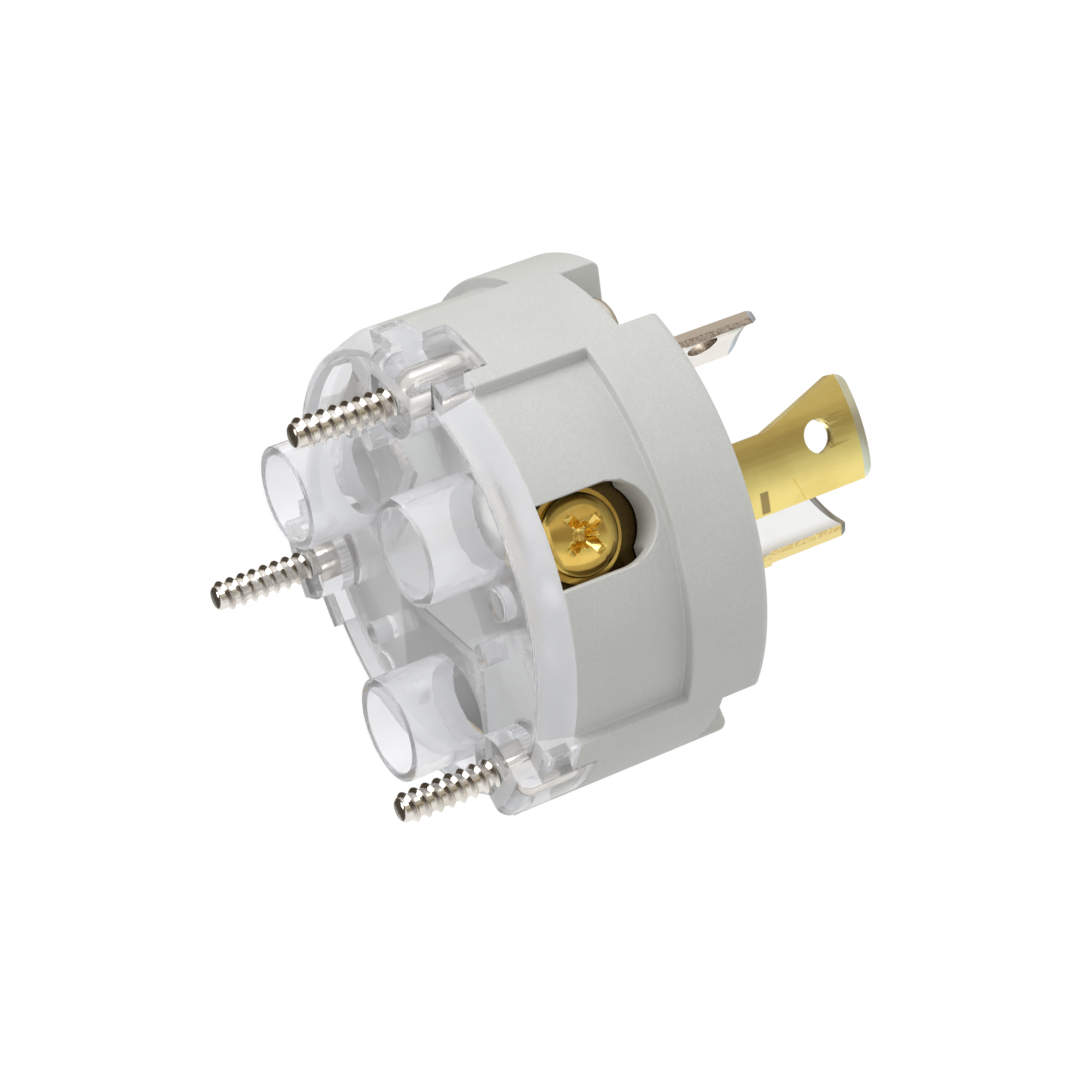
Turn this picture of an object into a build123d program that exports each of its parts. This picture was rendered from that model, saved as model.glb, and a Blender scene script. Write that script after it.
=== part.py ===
"""Interior of a grounded locking plug: moulded body, clear rear cover, three blades with their terminals.

The plug's axis is +Z and its blades point up. The three assembly screws stand on the plane Z = 0.
"""
import os
from math import cos, radians, sin

from build123d import *

# Depths along the axis, in order from the tips of the assembly screws to the face
screw_stand_out = 9.7
boss_height = 2.1
cover_depth = 3.2
panel_depth = 11.2
flange_depth = 8.25

# Outline of the moulded body
flange_diameter = 47.0
panel_step = 1.2
body_wall = 1.5
face_wall = 5.0
lobe_turn = -55.15
lobe_spread = 31.3
notch_turn = -54.6
notch_spread = 24.1
notch_depth = 4.1
face_round = 0.9
core_radius = 5.8
chamber_width = 14.8
chamber_shift = -0.4

# Window that lets a driver reach each terminal screw
window_width = 7.66
window_shoulder_gap = 0.7

# Clear rear cover
rim_draft = 1.0
rim_wall = 0.8
recess_depth = 1.2
boss_radius = 3.4
foot_depth = 2.25
tube_length = 9.0
tube_outer_radius = 5.0
tube_bore_radius = 4.1
tube_turn = -13.9
rim_slot_width = 2.7
rim_slot_height = 0.9
rim_slot_depth = 0.35
post_radius = 1.55
post_circle = 15.2
post_turn = 14.0
peg_radius = 1.1
peg_circle = 13.0
peg_turn = 37.0
peg_rise = 1.0
pad_radius = 1.6
pad_rim_gap = 0.3
pad_turn = 31.0
pad_rise = 0.25

# Blades, bent from one strip with their terminal plates
strip = 1.3
blade_radius = 12.2
blade_start = -9.0
blade_end = 26.0
live_reach = 19.4
ground_extra = 4.1
ground_start = -11.6
ground_shoulder = 0.5
ground_shoulder_height = 14.0
hook_turn = -24.9
hook_height = 9.2
tip_round = 1.2
tip_bevel = 0.35
tip_bevel_length = 1.0
blade_hole = 3.2
hole_from_tip = 4.95
plate_width = 13.6
bend_radius = 0.5

# Terminal screws with their washers and clamp plates
terminal_rise = 4.43
head_radius = 3.75
head_height = 1.8
head_bevel = 1.0
head_gap = 0.2
recess_arm = 4.2
recess_width = 1.1
recess_cut = 1.1
slot_width = 0.9
slot_cut = 0.55
shank_radius = 2.05
washer_radius = 4.3
washer_thickness = 0.6
clamp_thickness = 2.0
clamp_width = 12.8
clamp_rear_gap = 0.9
clamp_height = 8.6
clamp_groove = 0.4
clamp_lead_in = 0.8
clamp_core_gap = 1.4
shank_setback = 0.3

# Assembly screws
screw_edge = 3.69
screw_turn = -53.0
screw_radius = 1.5
screw_shank_relief = 0.2
screw_head_radius = 2.9
screw_head_height = 2.1
screw_head_bevel = 1.0
screw_tip_bevel = 0.35
screw_recess_arm = 3.2
screw_recess_width = 0.8
screw_recess_cut = 1.1

# Clearances of the fits
slot_clearance = 0.15
screw_clearance = 0.12
foot_clearance = 0.15
shank_clearance = 0.05
plate_end_play = 0.1
plate_clearance = 0.15
head_clearance = 0.6

# Stations of the three poles about the axis, in degrees
stations = {"hot": -90.0, "ground": 30.0, "neutral": 150.0}
pole_count = len(stations)
first_station = stations["hot"]

# Heights worked out from the depths
boss_z = screw_stand_out
rim_z = boss_z + boss_height
joint_z = rim_z + cover_depth
shoulder_z = joint_z + panel_depth
face_z = shoulder_z + flange_depth
notch_z = face_z - notch_depth
floor_z = face_z - face_wall
web_z = floor_z - strip
plate_z = joint_z + plate_end_play
terminal_z = joint_z + terminal_rise
tube_mouth_z = joint_z - tube_length
recess_z = rim_z + recess_depth
window_end_z = shoulder_z - window_shoulder_gap
head_room_z = terminal_z + washer_radius + head_clearance

# Radii worked out from the outline
flange_radius = flange_diameter / 2
panel_radius = flange_radius - panel_step
rim_radius = panel_radius - rim_draft
recess_radius = rim_radius - rim_wall
pad_circle = recess_radius - pad_radius - pad_rim_gap
chamber_radius = panel_radius - body_wall
screw_circle = flange_radius - screw_edge
notch_inner = screw_circle - screw_head_radius - head_clearance
blade_inner = blade_radius - strip

# Distances out from the axis of the stacked terminal pieces
head_top = chamber_radius - head_gap
head_seat = head_top - head_height
plate_outer = head_seat - washer_thickness
plate_inner = plate_outer - strip
clamp_inner = core_radius + clamp_core_gap
shank_end = clamp_inner + shank_setback
clamp_outer = clamp_inner + clamp_thickness
tube_circle = (plate_inner + clamp_outer) / 2 / cos(radians(tube_turn))


def across(station, height):
    """Plane across the axis whose X points out through a station."""
    out = (cos(radians(station)), sin(radians(station)), 0)
    return Plane((0, 0, height), x_dir=out, z_dir=(0, 0, 1))


def facing(station, distance, height=0.0):
    """Plane that faces out through a station: X runs round the axis and Y runs up."""
    out = (cos(radians(station)), sin(radians(station)), 0)
    around = (-sin(radians(station)), cos(radians(station)), 0)
    return Plane((out[0] * distance, out[1] * distance, height), x_dir=around, z_dir=out)


def beside(station):
    """Plane along the axis, in the middle of a chamber: X points out through the station and Y runs up."""
    out = (cos(radians(station)), sin(radians(station)), 0)
    around = (-sin(radians(station)), cos(radians(station)), 0)
    middle = (around[0] * chamber_shift, around[1] * chamber_shift, 0)
    return Plane(middle, x_dir=out, z_dir=(-around[0], -around[1], 0))


def chord(turn):
    """Sideways distance on the blade cylinder of a turn in degrees."""
    return blade_radius * sin(radians(turn))


def ring_sector(inner, outer, middle, spread):
    """Flat sector between two radii, centred on an angle in degrees."""
    with BuildSketch() as sector:
        with BuildLine():
            near = CenterArc((0, 0), inner, middle - spread / 2, spread)
            far = CenterArc((0, 0), outer, middle - spread / 2, spread)
            Line(near @ 0, far @ 0)
            Line(near @ 1, far @ 1)
        make_face()
    return sector.sketch_local


def open_u(radius):
    """Outline round an assembly screw: round towards the axis and open to the rim."""
    with BuildSketch() as outline:
        with Locations((screw_circle, 0)):
            Circle(radius)
            Rectangle(2 * screw_edge, 2 * radius, align=(Align.MIN, Align.CENTER))
    return outline.sketch_local


def cross_recess(arm, width):
    """Outline of a cross recess."""
    with BuildSketch() as cross:
        Rectangle(arm, width)
        Rectangle(width, arm)
    return cross.sketch_local


# Side outlines of the blades, as distances round the blade cylinder and heights
live_tip_z = face_z + live_reach
ground_tip_z = live_tip_z + ground_extra
hook_z = face_z + hook_height
shoulder_top_z = face_z + ground_shoulder_height
blade_outlines = {
    "hot": [
        (chord(blade_end), web_z),
        (chord(blade_end), live_tip_z),
        (chord(hook_turn), live_tip_z),
        (chord(blade_start), hook_z),
        (chord(blade_start), web_z),
    ],
    "neutral": [
        (chord(blade_end), web_z),
        (chord(blade_end), live_tip_z),
        (chord(blade_start), live_tip_z),
        (chord(blade_start), web_z),
    ],
    "ground": [
        (chord(blade_end), web_z),
        (chord(blade_end), ground_tip_z),
        (chord(ground_start), ground_tip_z),
        (chord(ground_start), shoulder_top_z),
        (chord(ground_start) - ground_shoulder, shoulder_top_z),
        (chord(ground_start) - ground_shoulder, web_z),
    ],
}

# Moulded body: drum and flange, lobes that carry the screws, chambers for the terminals
with BuildPart() as body:
    with BuildSketch(Plane.XY.offset(joint_z)):
        Circle(panel_radius)
    extrude(amount=panel_depth)
    with BuildSketch(Plane.XY.offset(shoulder_z)):
        Circle(flange_radius)
    extrude(amount=flange_depth)
    fillet(body.edges().group_by(Axis.Z)[-1], face_round)
    with BuildSketch(Plane.XY.offset(joint_z)):
        with PolarLocations(0, pole_count, start_angle=first_station):
            add(ring_sector(notch_inner, flange_radius, lobe_turn, lobe_spread))
    extrude(amount=panel_depth)
    with BuildSketch(Plane.XY.offset(notch_z)):
        with PolarLocations(0, pole_count, start_angle=first_station):
            add(ring_sector(notch_inner, flange_diameter, notch_turn, notch_spread))
    extrude(amount=notch_depth, mode=Mode.SUBTRACT)
    with BuildSketch(Plane.XY.offset(joint_z)):
        with PolarLocations(0, pole_count, start_angle=first_station):
            with Locations((core_radius, chamber_shift)):
                Rectangle(plate_outer + plate_clearance - core_radius, chamber_width,
                          align=(Align.MIN, Align.CENTER))
    extrude(amount=floor_z - joint_z, mode=Mode.SUBTRACT)
    with BuildSketch(Plane.XY.offset(joint_z)):
        with PolarLocations(0, pole_count, start_angle=first_station):
            with Locations((core_radius, chamber_shift)):
                Rectangle(flange_radius, chamber_width, align=(Align.MIN, Align.CENTER))
        Circle(chamber_radius, mode=Mode.INTERSECT)
    extrude(amount=head_room_z - joint_z, mode=Mode.SUBTRACT)
    for station in stations.values():
        with BuildSketch(facing(station, plate_outer)):
            with Locations((0, window_end_z - window_width / 2)):
                Circle(window_width / 2)
                Rectangle(window_width, window_end_z, align=(Align.CENTER, Align.MAX))
        extrude(amount=flange_radius - plate_outer, mode=Mode.SUBTRACT)
    with BuildSketch(Plane.XY.offset(joint_z)):
        with PolarLocations(0, pole_count, start_angle=first_station + screw_turn):
            add(open_u(boss_radius + foot_clearance))
    extrude(amount=foot_depth + foot_clearance, mode=Mode.SUBTRACT)
    with BuildSketch(Plane.XY.offset(joint_z)):
        with PolarLocations(screw_circle, pole_count, start_angle=first_station + screw_turn):
            Circle(screw_radius + screw_clearance)
    extrude(amount=notch_z - joint_z, mode=Mode.SUBTRACT)
    for name, station in stations.items():
        slot_from = min(side for side, _ in blade_outlines[name])
        slot_to = max(side for side, _ in blade_outlines[name])
        with BuildSketch(across(station, floor_z)):
            Circle(blade_radius + slot_clearance)
            Circle(blade_inner - slot_clearance, mode=Mode.SUBTRACT)
            with Locations((0, (slot_from + slot_to) / 2)):
                Rectangle(flange_radius, slot_to - slot_from + 2 * slot_clearance,
                          align=(Align.MIN, Align.CENTER), mode=Mode.INTERSECT)
        extrude(amount=face_wall, mode=Mode.SUBTRACT)

# Clear cover: rim and recessed plate, feet in the lobes, bosses round the screws, wire tubes
with BuildPart() as rear_cover:
    with Locations((0, 0, rim_z)):
        Cone(rim_radius, panel_radius, cover_depth, align=(Align.CENTER, Align.CENTER, Align.MIN))
    with BuildSketch(Plane.XY.offset(rim_z)):
        with PolarLocations(0, pole_count, start_angle=first_station):
            add(ring_sector(notch_inner, flange_radius, lobe_turn, lobe_spread))
    extrude(amount=cover_depth)
    with BuildSketch(Plane.XY.offset(rim_z)):
        Circle(recess_radius)
        with PolarLocations(0, pole_count, start_angle=first_station + screw_turn):
            add(open_u(boss_radius), mode=Mode.SUBTRACT)
    extrude(amount=recess_depth, mode=Mode.SUBTRACT)
    for start_z, height in ((boss_z, boss_height), (joint_z, foot_depth)):
        with BuildSketch(Plane.XY.offset(start_z)):
            with PolarLocations(0, pole_count, start_angle=first_station + screw_turn):
                add(open_u(boss_radius))
            Circle(flange_radius, mode=Mode.INTERSECT)
        extrude(amount=height)
    with BuildSketch(Plane.XY.offset(tube_mouth_z)):
        with PolarLocations(tube_circle, pole_count, start_angle=first_station + tube_turn):
            Circle(tube_outer_radius)
    extrude(amount=tube_length)
    with BuildSketch(Plane.XY.offset(rim_z)):
        with PolarLocations(post_circle, pole_count, start_angle=first_station + post_turn):
            Circle(post_radius)
    extrude(amount=recess_depth)
    with BuildSketch(Plane.XY.offset(rim_z - peg_rise)):
        with PolarLocations(peg_circle, pole_count, start_angle=first_station + peg_turn):
            Circle(peg_radius)
    extrude(amount=recess_depth + peg_rise)
    with BuildSketch(Plane.XY.offset(recess_z - pad_rise)):
        with PolarLocations(pad_circle, pole_count, start_angle=first_station + pad_turn):
            Circle(pad_radius)
    extrude(amount=pad_rise)
    with BuildSketch(Plane.XY.offset(tube_mouth_z)):
        with PolarLocations(tube_circle, pole_count, start_angle=first_station + tube_turn):
            Circle(tube_bore_radius)
    extrude(amount=tube_length, mode=Mode.SUBTRACT)
    with BuildSketch(Plane.XY.offset(boss_z)):
        with PolarLocations(screw_circle, pole_count, start_angle=first_station + screw_turn):
            Circle(screw_radius + screw_clearance)
    extrude(amount=joint_z + foot_depth - boss_z, mode=Mode.SUBTRACT)
    for station in stations.values():
        with BuildSketch(facing(station + tube_turn, rim_radius - rim_slot_depth, rim_z + rim_slot_height)):
            Rectangle(rim_slot_width, rim_slot_height)
        extrude(amount=rim_slot_depth + rim_draft, mode=Mode.SUBTRACT)


def make_blade(station, outline_points, hole_places, tip_z):
    """Blade rolled to the blade circle, with the web and terminal plate of the same strip.

    Args:
        station: the pole's angle about the axis.
        outline_points: the blade's side outline, from its root at one side round the tip to the other.
        hole_places: the sideways places of the holes near the tip.
        tip_z: the height of the tip.
    """
    with BuildPart() as blade:
        with BuildSketch(across(station, web_z)):
            Circle(blade_radius)
            Circle(blade_inner, mode=Mode.SUBTRACT)
        extrude(amount=tip_z - web_z)
        tip = blade.faces().sort_by(Axis.Z)[-1]
        chamfer(tip.edges(), tip_bevel, tip_bevel_length, reference=tip)
        with BuildSketch(facing(station, 0)) as side:
            with BuildLine():
                Polyline(*outline_points, close=True)
            make_face()
            fillet(side.vertices().group_by(Axis.Y)[-1], tip_round)
            with Locations([(hole_x, tip_z - hole_from_tip) for hole_x in hole_places]):
                Circle(blade_hole / 2, mode=Mode.SUBTRACT)
        extrude(amount=2 * blade_radius, mode=Mode.INTERSECT)
        with BuildSketch(beside(station)) as bent_strip:
            with BuildLine():
                Polyline((0, web_z), (plate_inner, web_z), (plate_inner, plate_z), (plate_outer, plate_z),
                         (plate_outer, floor_z), (0, floor_z), close=True)
            make_face()
            inner_bend = bent_strip.vertices().filter_by_position(Axis.Y, web_z, web_z).sort_by(Axis.X)[-1]
            fillet(inner_bend, bend_radius)
            outer_bend = bent_strip.vertices().group_by(Axis.Y)[-1].sort_by(Axis.X)[-1]
            fillet(outer_bend, bend_radius + strip)
        extrude(amount=plate_width / 2, both=True)
        with BuildSketch(across(station, web_z)):
            Circle(blade_inner)
        extrude(amount=strip, mode=Mode.SUBTRACT)
        with BuildSketch(facing(station, plate_inner, terminal_z)):
            Circle(shank_radius + screw_clearance)
        extrude(amount=strip, mode=Mode.SUBTRACT)
    return blade.part


def make_terminal_screw(station):
    """Dome-headed terminal screw with a slot and a cross recess."""
    with BuildPart() as screw:
        with BuildSketch(facing(station, head_seat, terminal_z)):
            Circle(head_radius)
        extrude(amount=head_height)
        rim = screw.faces().sort_by(Axis((0, 0, 0), facing(station, 0).z_dir))[-1].edges()
        chamfer(rim, head_bevel)
        with BuildSketch(facing(station, head_top - recess_cut, terminal_z)):
            add(cross_recess(recess_arm, recess_width))
        extrude(amount=recess_cut, mode=Mode.SUBTRACT)
        with BuildSketch(facing(station, head_top - slot_cut, terminal_z)):
            Rectangle(2 * head_radius, slot_width)
        extrude(amount=slot_cut, mode=Mode.SUBTRACT)
        with BuildSketch(facing(station, shank_end, terminal_z)):
            Circle(shank_radius)
        extrude(amount=head_seat - shank_end)
    return screw.part


def make_washer(station):
    """Flat washer under a terminal screw's head."""
    with BuildPart() as washer:
        with BuildSketch(facing(station, plate_outer, terminal_z)):
            Circle(washer_radius)
            Circle(shank_radius + screw_clearance, mode=Mode.SUBTRACT)
        extrude(amount=washer_thickness)
    return washer.part


def make_clamp_plate(station):
    """Clamp plate that the terminal screw draws out against the wire, grooved across the wire's run."""
    low_z = joint_z + clamp_rear_gap
    groove_pitch = clamp_height / 4
    around = Axis((0, 0, 0), (-sin(radians(station)), cos(radians(station)), 0))
    radial = Axis((0, 0, 0), (cos(radians(station)), sin(radians(station)), 0))
    with BuildPart() as clamp:
        with BuildSketch(facing(station, clamp_inner, low_z)):
            with Locations((chamber_shift, 0)):
                Rectangle(clamp_width, clamp_height, align=(Align.CENTER, Align.MIN))
        extrude(amount=clamp_thickness)
        lead_in = clamp.edges().filter_by(around).group_by(Axis.Z)[0].sort_by(radial)[-1]
        chamfer(lead_in, clamp_lead_in)
        for row in (2, 3):
            with BuildSketch(facing(station, clamp_outer - clamp_groove, low_z + row * groove_pitch)):
                with Locations((chamber_shift, 0)):
                    Rectangle(clamp_width, clamp_groove)
            extrude(amount=clamp_groove, mode=Mode.SUBTRACT)
        with BuildSketch(facing(station, clamp_inner, terminal_z)):
            Circle(shank_radius + shank_clearance)
        extrude(amount=clamp_thickness, mode=Mode.SUBTRACT)
    return clamp.part


def make_assembly_screw(angle):
    """Long pan-headed screw through the body and the cover, threaded where it stands out of its boss."""
    with BuildPart() as screw:
        with BuildSketch(Plane.XY):
            with PolarLocations(screw_circle, 1, start_angle=angle):
                Circle(screw_radius)
        extrude(amount=screw_stand_out)
        chamfer(screw.edges().group_by(Axis.Z)[0], screw_tip_bevel)
        with BuildSketch(Plane.XY.offset(boss_z)):
            with PolarLocations(screw_circle, 1, start_angle=angle):
                Circle(screw_radius - screw_shank_relief)
        extrude(amount=notch_z - boss_z)
        with BuildSketch(Plane.XY.offset(notch_z)):
            with PolarLocations(screw_circle, 1, start_angle=angle):
                Circle(screw_head_radius)
        extrude(amount=screw_head_height)
        chamfer(screw.edges().group_by(Axis.Z)[-1], screw_head_bevel)
        with BuildSketch(Plane.XY.offset(notch_z + screw_head_height - screw_recess_cut)):
            with PolarLocations(screw_circle, 1, start_angle=angle):
                add(cross_recess(screw_recess_arm, screw_recess_width))
        extrude(amount=screw_recess_cut, mode=Mode.SUBTRACT)
    return screw.part


os.makedirs("parts", exist_ok=True)
pieces = {"body": body.part, "rear_cover": rear_cover.part}
for name, station in stations.items():
    outline = blade_outlines[name]
    tip_z = max(height for _, height in outline)
    tip_sides = [side for side, height in outline if height == tip_z]
    hole_places = [] if name == "ground" else [sum(tip_sides) / len(tip_sides)]
    pieces[f"{name}_blade"] = make_blade(station, outline, hole_places, tip_z)
    pieces[f"{name}_terminal_screw"] = make_terminal_screw(station)
    pieces[f"{name}_terminal_washer"] = make_washer(station)
    pieces[f"{name}_clamp_plate"] = make_clamp_plate(station)
for number, station in enumerate(stations.values(), start=1):
    pieces[f"assembly_screw_{number}"] = make_assembly_screw(station + screw_turn)
for name, piece in pieces.items():
    piece.label = name
    export_step(piece, f"parts/{name}.step")
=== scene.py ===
"""Looks of the grounded locking plug: mouldings, blades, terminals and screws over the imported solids.

Every length is written in millimetres and becomes metres through MM. The plug's axis is +Z, its blades
point up and the assembly screws stand on the floor at Z = 0.
"""
import logging
import math
from dataclasses import dataclass, field
from enum import Enum
from typing import Callable, Optional, Sequence

import bmesh
import bpy
from mathutils import Matrix, Vector


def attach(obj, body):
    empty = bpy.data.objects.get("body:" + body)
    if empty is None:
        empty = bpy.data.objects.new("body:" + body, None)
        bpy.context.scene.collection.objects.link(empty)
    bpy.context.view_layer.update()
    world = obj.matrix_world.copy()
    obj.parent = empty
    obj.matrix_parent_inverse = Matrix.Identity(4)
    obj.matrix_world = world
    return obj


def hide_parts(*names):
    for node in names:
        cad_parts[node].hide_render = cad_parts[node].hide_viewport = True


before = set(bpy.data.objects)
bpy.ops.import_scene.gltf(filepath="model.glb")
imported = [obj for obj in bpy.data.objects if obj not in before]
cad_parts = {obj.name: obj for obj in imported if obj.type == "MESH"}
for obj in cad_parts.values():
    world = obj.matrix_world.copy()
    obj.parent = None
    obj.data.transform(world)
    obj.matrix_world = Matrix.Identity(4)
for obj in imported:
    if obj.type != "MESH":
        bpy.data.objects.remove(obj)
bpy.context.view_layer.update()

MM = 0.001
log = logging.getLogger("locking_plug")

Colour = tuple[float, float, float]
Span = tuple[float, float]
Profile = Sequence[tuple[float, float]]

WHITE: Colour = (1.0, 1.0, 1.0)
# Sockets of a Mix node that take and give colours
MIX_COLOURS = (6, 7)
MIX_RESULT = 2
# Distance in millimetres and angles in degrees within which corners and faces count as one
WELD_DISTANCE = 0.002
JOINED_FLAT = 0.3
PACKED_FLAT = 0.6
# Least angle of a rounded edge in degrees, segments of a round, and how far large faces lead the shading
EDGE_ANGLE = 32.0
CLAMPED_SEGMENTS = 2
FREE_SEGMENTS = 4
FACE_WEIGHT = 80


class Pole(Enum):
    """The three poles, each at its station about the axis in degrees."""

    HOT = -90.0
    GROUND = 30.0
    NEUTRAL = 150.0

    @property
    def label(self) -> str:
        """The pole's name as its nodes carry it."""
        return self.name.lower()


class Join(Enum):
    """What a boolean join does with its second shape."""

    ADD = "UNION"
    CUT = "DIFFERENCE"


class Grain(Enum):
    """Direction in which a metal surface carries its fine marks."""

    LENGTHWISE = (900.0, 900.0, 60.0)
    CROSSWISE = (120.0, 120.0, 1500.0)
    TUMBLED = (700.0, 700.0, 700.0)


# Node helpers


class Wiring:
    """Places nodes in a tree and links them by socket name.

    Args:
        tree: the node tree to fill.
    """

    def __init__(self, tree: bpy.types.NodeTree) -> None:
        self.tree = tree
        self.column = 0

    def node(self, kind: str, settings: Optional[dict] = None, **inputs: object) -> bpy.types.Node:
        """Adds a node.

        Args:
            kind: the node's type name.
            settings: properties to set on the node before its inputs.
            inputs: values or output sockets, by the input's name with underscores for blanks.

        Returns:
            The new node.
        """
        made = self.tree.nodes.new(kind)
        made.location = (self.column * 180, 0)
        self.column += 1
        for name, value in (settings or {}).items():
            setattr(made, name, value)
        for name, value in inputs.items():
            self.feed(made.inputs[name.replace("_", " ")], value)
        return made

    def feed(self, socket: bpy.types.NodeSocket, value: object) -> None:
        """Links an output to a socket, or sets the socket's value.

        Args:
            socket: the input to fill.
            value: an output socket or a plain value.
        """
        if isinstance(value, bpy.types.NodeSocket):
            self.tree.links.new(value, socket)
        else:
            socket.default_value = value

    def math(self, operation: str, *values: object) -> bpy.types.NodeSocket:
        """Adds a Math node on the given values and returns its output.

        Args:
            operation: what the node works out.
            values: its inputs in order.

        Returns:
            The node's output.
        """
        made = self.node("ShaderNodeMath", {"operation": operation})
        for socket, value in zip(made.inputs, values):
            self.feed(socket, value)
        return made.outputs[0]

    def vector(self, operation: str, *values: object, out: str = "Vector") -> bpy.types.NodeSocket:
        """Adds a Vector Math node on the given values and returns the named output.

        Args:
            operation: what the node works out.
            values: its inputs in order.
            out: the name of the output to use.

        Returns:
            The named output.
        """
        made = self.node("ShaderNodeVectorMath", {"operation": operation})
        for socket, value in zip(made.inputs, values):
            self.feed(socket, value)
        return made.outputs[out]

    def step(self, value: object, low: float, high: float) -> bpy.types.NodeSocket:
        """Smooth step of a value from 0 at low to 1 at high.

        Args:
            value: the value to follow.
            low: where the step starts.
            high: where it ends.

        Returns:
            The step, from 0 to 1.
        """
        made = self.node("ShaderNodeMapRange", {"interpolation_type": "SMOOTHSTEP"})
        for name, given in (("Value", value), ("From Min", low), ("From Max", high)):
            self.feed(made.inputs[name], given)
        return made.outputs["Result"]

    def band(self, value: object, low: float, high: float, soft: float) -> bpy.types.NodeSocket:
        """Mask that is 1 where a value lies between low and high, with soft ends.

        Args:
            value: the value to follow.
            low: the band's lower end.
            high: its upper end.
            soft: half the width of the soft ends.

        Returns:
            The mask, from 0 to 1.
        """
        rise = self.step(value, low - soft, low + soft)
        fall = self.step(value, high - soft, high + soft)
        return self.math("SUBTRACT", rise, fall)

    def blend(self, share: object, first: object, second: object) -> bpy.types.NodeSocket:
        """Mixes two colours by a share and returns the mixed colour.

        Args:
            share: the share of the second colour.
            first: a colour or an output socket.
            second: a colour or an output socket.

        Returns:
            The mixed colour.
        """
        made = self.node("ShaderNodeMix", {"data_type": "RGBA"})
        self.feed(made.inputs["Factor"], share)
        for place, colour in zip(MIX_COLOURS, (first, second)):
            linked = isinstance(colour, bpy.types.NodeSocket)
            self.feed(made.inputs[place], colour if linked else (*colour, 1.0))
        return made.outputs[MIX_RESULT]

    def shaders(self, share: object, first: bpy.types.NodeSocket,
                second: bpy.types.NodeSocket) -> bpy.types.NodeSocket:
        """Mixes two shaders by a share and returns the mixed shader.

        Args:
            share: the share of the second shader.
            first: a shader's output.
            second: a shader's output.

        Returns:
            The mixed shader.
        """
        made = self.node("ShaderNodeMixShader", Fac=share)
        self.feed(made.inputs[1], first)
        self.feed(made.inputs[2], second)
        return made.outputs["Shader"]

    def noise(self, place: object, scale: object, detail: float,
              roughness: float = 0.5) -> bpy.types.NodeSocket:
        """Value of a noise texture at a place."""
        made = self.node("ShaderNodeTexNoise", Vector=place, Scale=scale, Detail=detail, Roughness=roughness)
        return made.outputs["Fac"]

    def place(self) -> bpy.types.NodeSocket:
        """Place of the shaded point in the plug's frame."""
        return self.node("ShaderNodeTexCoord").outputs["Object"]

    def off_axis(self) -> bpy.types.NodeSocket:
        """Vector from the plug's axis straight out to the shaded point."""
        return self.vector("MULTIPLY", self.place(), (1.0, 1.0, 0.0))

    def facing_out(self) -> bpy.types.NodeSocket:
        """How far the shaded face looks away from the plug's axis, from -1 to 1."""
        normal = self.node("ShaderNodeNewGeometry").outputs["True Normal"]
        return self.vector("DOT_PRODUCT", normal, self.vector("NORMALIZE", self.off_axis()), out="Value")

    def radius(self) -> bpy.types.NodeSocket:
        """Distance of the shaded point from the plug's axis."""
        return self.vector("LENGTH", self.off_axis(), out="Value")

    def relief(self, shader: bpy.types.Node, height: bpy.types.NodeSocket, strength: float,
               depth: float) -> None:
        """Gives a shader a fine relief of a depth in millimetres."""
        bump = self.node("ShaderNodeBump", Strength=strength, Distance=depth * MM, Height=height)
        self.feed(shader.inputs["Normal"], bump.outputs["Normal"])


def new_group(name: str, kind: str, inputs: dict[str, str], outputs: dict[str, str]) -> bpy.types.NodeTree:
    """Makes an empty node group.

    Args:
        name: the group's name.
        kind: the type of its tree.
        inputs: socket type by input name.
        outputs: socket type by output name.

    Returns:
        The new group tree.
    """
    tree = bpy.data.node_groups.new(name, kind)
    for way, sockets in (("INPUT", inputs), ("OUTPUT", outputs)):
        for label, socket in sockets.items():
            tree.interface.new_socket(label, in_out=way, socket_type=socket)
    return tree


def fine_grain_group() -> bpy.types.NodeTree:
    """Spark-eroded mould grain: a fine height and a broad, faint mottle.

    Returns:
        The group, with inputs Grain Size and Mottle Size in metres and outputs Height and Mottle.
    """
    sizes = dict.fromkeys(("Grain Size", "Mottle Size"), "NodeSocketFloat")
    results = dict.fromkeys(("Height", "Mottle"), "NodeSocketFloat")
    tree = new_group("fine_grain", "ShaderNodeTree", sizes, results)
    wire = Wiring(tree)
    given = wire.node("NodeGroupInput").outputs
    place = wire.place()
    height = wire.noise(place, wire.math("DIVIDE", 1.0, given["Grain Size"]), detail=3.0, roughness=0.6)
    mottle = wire.noise(place, wire.math("DIVIDE", 1.0, given["Mottle Size"]), detail=4.0, roughness=0.55)
    wire.node("NodeGroupOutput", Height=height, Mottle=mottle)
    return tree


def drawn_marks_group(pit_density: float = 4200.0, pit_share: float = 0.5,
                      stain_density: float = 170.0) -> bpy.types.NodeTree:
    """Fine marks of drawn and stamped metal, stretched along one direction, with broad handling stains.

    Args:
        pit_density: pits per metre.
        pit_share: the height of the pits as a share of the streaks' height.
        stain_density: stains per metre.

    Returns:
        The group, with input Density in marks per metre by direction and outputs Height, Streak and Stain.
    """
    results = dict.fromkeys(("Height", "Streak", "Stain"), "NodeSocketFloat")
    tree = new_group("drawn_marks", "ShaderNodeTree", {"Density": "NodeSocketVector"}, results)
    wire = Wiring(tree)
    place = wire.place()
    drawn = wire.vector("MULTIPLY", place, wire.node("NodeGroupInput").outputs["Density"])
    streak = wire.noise(drawn, scale=4.0, detail=5.0, roughness=0.65)
    pits = wire.noise(place, pit_density, detail=2.0)
    stain = wire.noise(place, stain_density, detail=5.0, roughness=0.6)
    height = wire.math("MULTIPLY_ADD", pits, pit_share, streak)
    wire.node("NodeGroupOutput", Height=height, Streak=streak, Stain=stain)
    return tree


FINE_GRAIN = fine_grain_group()
DRAWN_MARKS = drawn_marks_group()


# Finishes


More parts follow.
